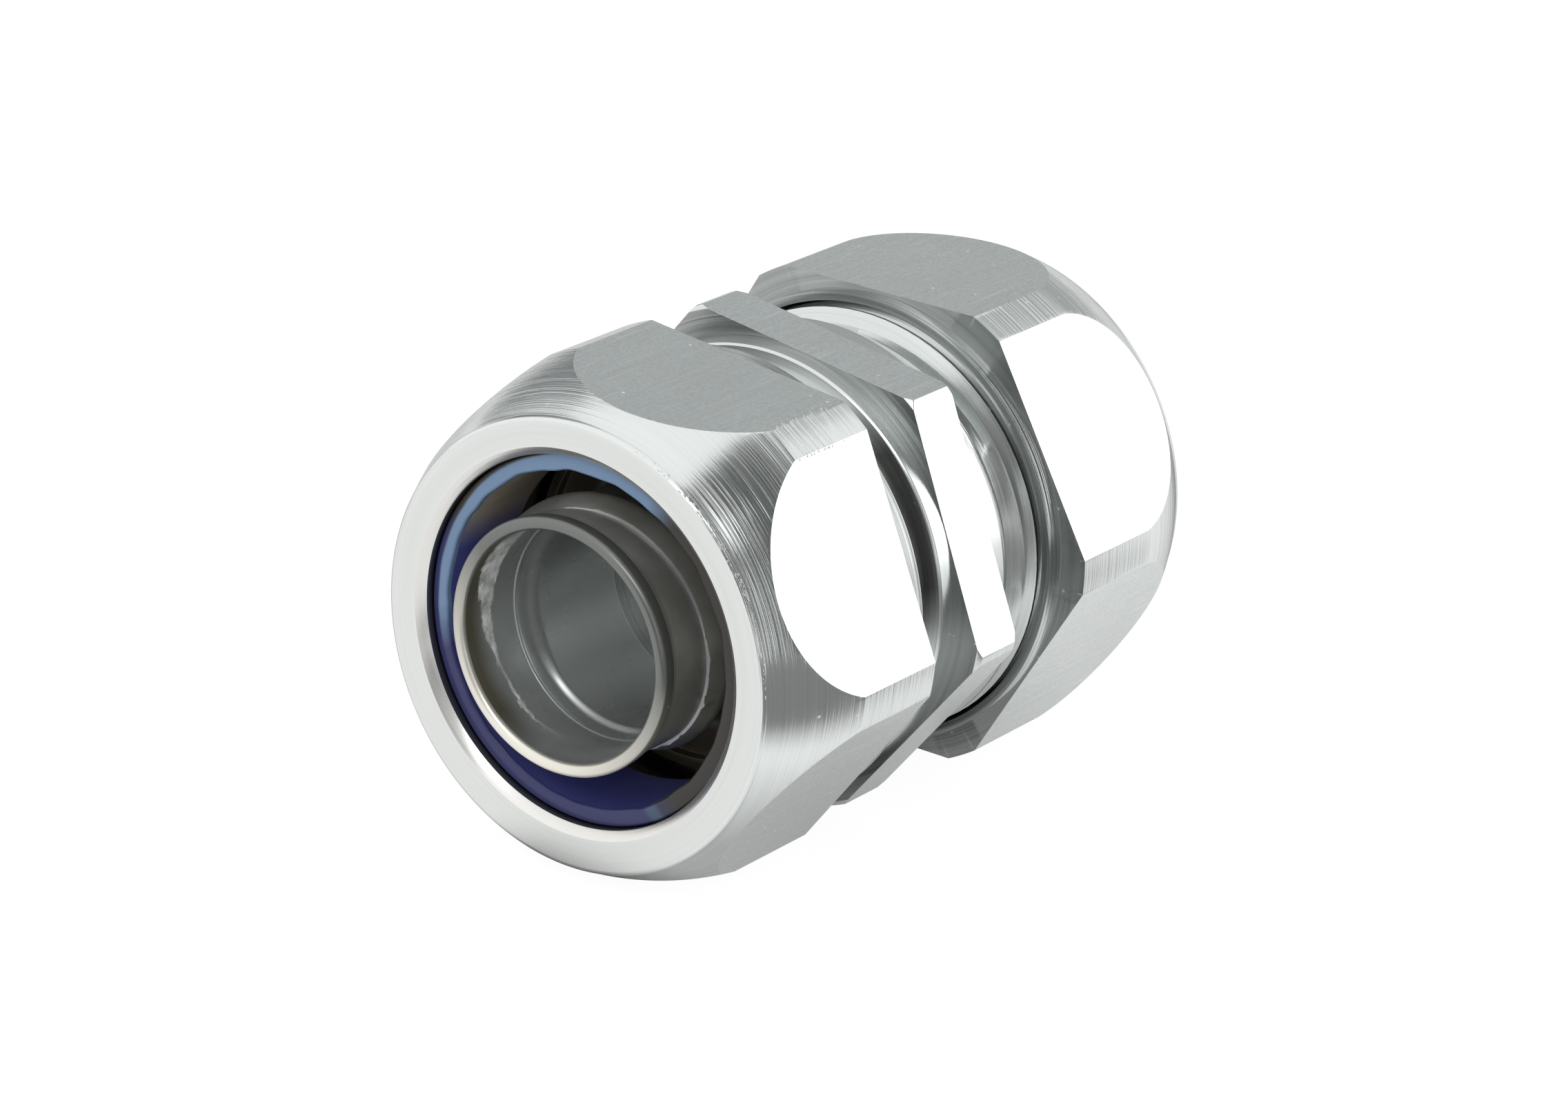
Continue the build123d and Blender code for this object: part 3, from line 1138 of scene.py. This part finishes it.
def floor_reflection(nodes: Nodes) -> Value:
    """Tone of the floor where the metal mirrors it: darker under, touching and beside the coupling, as a
    painted shadow.
    """
    along, across, _ = nodes.split(nodes.place())
    # Painted shadow under, touching and beside the coupling, which only reflections show.
    reach = 0.55 - along.ramp(0.0, 24 * MM) * 0.24
    under = across.ramp(-28 * MM, -12 * MM) * reach * along.ramp(-24 * MM, -20 * MM)
    contact = abs(across).ramp(7.5 * MM, 3 * MM) * along.ramp(-26.5 * MM, -22.5 * MM)
    beside = across.ramp(-32 * MM, -44 * MM) * (along + across * 0.3).ramp(50 * MM, 20 * MM)
    return (0.98 - under) * (1.0 - contact * 0.8) * (1.0 - beside * 0.86)


def pale_floor() -> None:
    """A pale floor that nearly vanishes into the white background but keeps the coupling's shadow."""
    material, nodes = start_material("pale_floor")
    nodes.tree.nodes.clear()
    matt = nodes.value("ShaderNodeBsdfDiffuse", {"Color": (0.86, 0.86, 0.86)})
    path = nodes.add("ShaderNodeLightPath")
    camera, glossy = nodes.outputs(path, "Is Camera Ray", "Is Glossy Ray")
    level = floor_reflection(nodes)
    shade = nodes.value("ShaderNodeCombineColor", {0: level, 1: level, 2: level})
    # Camera rays see a plain glow; glossy rays see the painted shadow in place of the lit floor.
    glow = nodes.value("ShaderNodeEmission", {"Color": nodes.mix(camera, shade, (1.06, 1.06, 1.06))})
    share = nodes.math("MAXIMUM", camera * 0.9, glossy * 0.85)
    nodes.show(nodes.value("ShaderNodeMixShader", {0: share, 1: matt, 2: glow}))
    link_sheet("floor", Matrix.Scale(6.0, 4), material)


def white_world(level: float) -> None:
    """A world that lights at a plain level and shows white to the camera and in reflections."""
    world = bpy.data.worlds.new("studio")
    bpy.context.scene.world = world
    world.use_nodes = True
    nodes = Nodes(world.node_tree)
    back = world.node_tree.nodes["Background"]
    nodes.feed(back.inputs["Color"], (1, 1, 1))
    path = nodes.add("ShaderNodeLightPath")
    rays = (f"Is {kind} Ray" for kind in ("Camera", "Glossy", "Transmission"))
    camera, glossy, through = nodes.outputs(path, *rays)
    seen = nodes.math("MAXIMUM", nodes.math("MAXIMUM", camera, glossy), through)
    nodes.feed(back.inputs["Strength"], seen * (1.0 - level) + level)


@dataclass(frozen=True)
class Viewpoint:
    """The camera, where the photograph was taken from. Focal length and width are in its pixels."""

    place: tuple[float, float, float] = (-252.485 * MM, -173.895 * MM, 146.764 * MM)
    aim: tuple[float, float, float] = (-0.343 * MM, -0.02 * MM, 14.706 * MM)
    roll: float = math.radians(5.434)
    focal_length: float = 7701.06
    frame_width: float = 2273.0

    def build(self) -> None:
        """Makes the camera and sets it as the scene's."""
        data = bpy.data.cameras.new("camera")
        data.sensor_width = 36.0
        data.lens = self.focal_length / self.frame_width * data.sensor_width
        data.clip_start = 0.01
        camera = link_object("camera", data)
        camera.location = self.place
        facing = (Vector(self.place) - Vector(self.aim)).to_track_quat("Z", "Y").to_matrix()
        camera.rotation_euler = (facing @ Matrix.Rotation(self.roll, 3, "Z")).to_euler()
        bpy.context.scene.camera = camera


def metal_finishes() -> Finishes:
    """Makes the shared effects and the metal finishes, by their short names."""
    effects = {"turned": turning_group(), "drawn": drawn_group(), "nicks": nick_group()}
    turned, drawn = Grain.TURNED, Grain.DRAWN
    finishes = {
        "dome": MetalFinish("turned_plate", turned, (0.86, 0.89, 0.88), (0.76, 0.79, 0.785), 0.16, 0.1,
                            0.016 * MM, nick=0.6),
        "flat": MetalFinish("drawn_plate", drawn, (0.95, 0.99, 0.98), (0.76, 0.8, 0.79), 0.26, 0.1,
                            0.005 * MM, nick=0.8),
        "face": MetalFinish("faced_plate", turned, (0.85, 0.865, 0.852), (0.775, 0.79, 0.775), 0.32, 0.1,
                            0.002 * MM, nick=0.2),
        "chamfer": MetalFinish("cut_edge", turned, (1.0, 1.0, 0.98), (0.78, 0.77, 0.74), 0.28, 0.16,
                               0.03 * MM, nick=0.6, fineness=5000.0, metallic=0.9),
        "mouth": MetalFinish("mouth_plate", turned, (0.46, 0.48, 0.475), (0.32, 0.34, 0.335), 0.3, 0.1,
                             0.008 * MM, nick=0.3),
        # The inside's dim tones are painted shade in the recesses of the nuts and the body.
        "inside": MetalFinish("shaded_inside_plate", turned, (0.34, 0.34, 0.32), (0.22, 0.22, 0.2), 0.38, 0.14,
                              0.01 * MM, nick=0.0),
        "thread": MetalFinish("thread_plate", turned, (0.82, 0.85, 0.84), (0.68, 0.71, 0.7), 0.24, 0.12,
                              0.004 * MM, nick=0.2),
        # The lip's pale cream tone low and on the left is painted light.
        "lip": MetalFinish("rolled_lip", turned, (0.22, 0.23, 0.22), (0.165, 0.175, 0.165), 0.32, 0.12,
                           0.003 * MM, nick=0.3, metallic=0.8, painted_light_tone=(0.9, 0.87, 0.78)),
        "end": MetalFinish("turned_end", turned, (0.86, 0.89, 0.88), (0.42, 0.44, 0.43), 0.22, 0.1,
                           0.02 * MM, nick=0.3, fineness=7000.0),
        # The groove's deep tone on the right is painted shade.
        "groove": MetalFinish("groove_plate", turned, (0.95, 0.97, 0.95), (0.8, 0.82, 0.8), 0.3, 0.12,
                              0.006 * MM, nick=0.2, painted_shade_tone=(0.13, 0.13, 0.125)),
        "bore": MetalFinish("bored_plate", turned, (0.54, 0.56, 0.55), (0.46, 0.48, 0.47), 0.24, 0.1,
                            0.004 * MM, nick=0.0),
    }
    return {key: finish.build(effects) for key, finish in finishes.items()}


@dataclass
class Coupling:
    """The whole coupling: builds each piece, sets it on what it rides on and hides the node it stands for.
    """

    nut_twist: float = math.radians(3.2)
    collar_twist: float = math.radians(5.0)
    ferrule_shift: float = 0.4 * MM
    # The ring's second colour is the painted highlight on its front edge.
    navy: PlasticFinish = field(default_factory=lambda: PlasticFinish(
        "navy_plastic", (0.074, 0.082, 0.31), (0.17, 0.27, 0.43), 0.24))

    def nut(self, end: End) -> Nut:
        """One end's nut, with the small differences that the two have."""
        twist = -end.value * self.nut_twist
        if end is End.FRONT:
            return Nut(end, twist, nose_drop=0.22 * MM)
        return Nut(end, twist, nose=14.25 * MM, nose_round=0.45 * MM, bulge=0.42 * MM)

    def place(self, piece: bpy.types.Object, body: str, slot: str, node: str) -> None:
        """Sets a piece on what it rides on and hides the node that it stands for."""
        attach(piece, body)
        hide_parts(node)
        LOG.info("%s: %d faces", piece.name, len(piece.data.polygons))

    def build(self) -> None:
        """Builds every piece."""
        finishes = metal_finishes()
        body = Body(self.collar_twist).build(finishes)
        self.place(body, "coupling_body", "plated_steel", "coupling_body")
        for end in End:
            nut, ring, ferrule = (f"{end.label}_{kind}" for kind in ("nut", "seal_ring", "ferrule"))
            self.place(self.nut(end).build(finishes), nut, "plated_steel", nut)
            self.place(SealRing(end).build(self.navy), ring, "blue_plastic", ring)
            tube = Ferrule(end, self.ferrule_shift).build(finishes)
            self.place(tube, "coupling_body", "ferrule_steel", ferrule)


def build_studio() -> None:
    """Sets the floor, the background, the lamps, the cards and the camera."""
    pale_floor()
    white_world(0.75)
    for item in (
        Lamp("right_lamp", (0.5, -0.42, 0.16), (0.4, 0.35), 0.36),
        Lamp("left_lamp", (-0.5, -0.3, 0.5), (0.5, 0.4), 1.5),
        Card("upper_card", (0.76, 0.5, 0.5), 0.6, (0.75, 0.5), 0.42),
        Card("near_card", (0.15, -0.76, 0.63), 0.5, (0.52, 0.81), 0.13),
        Card("far_card", (0.44, 0.78, 0.42), 0.58, (0.34, 0.42), 0.25),
        Card("camera_side_card", (-0.755, -0.42, 0.36), 0.6, (0.5, 0.4), 0.08),
        Viewpoint(),
    ):
        item.build()
    bpy.context.scene.view_settings.view_transform = "Standard"


def main() -> None:
    """Builds the coupling and its studio."""
    logging.basicConfig(level=logging.INFO)
    Coupling().build()
    build_studio()


if __name__ == "__main__":
    main()
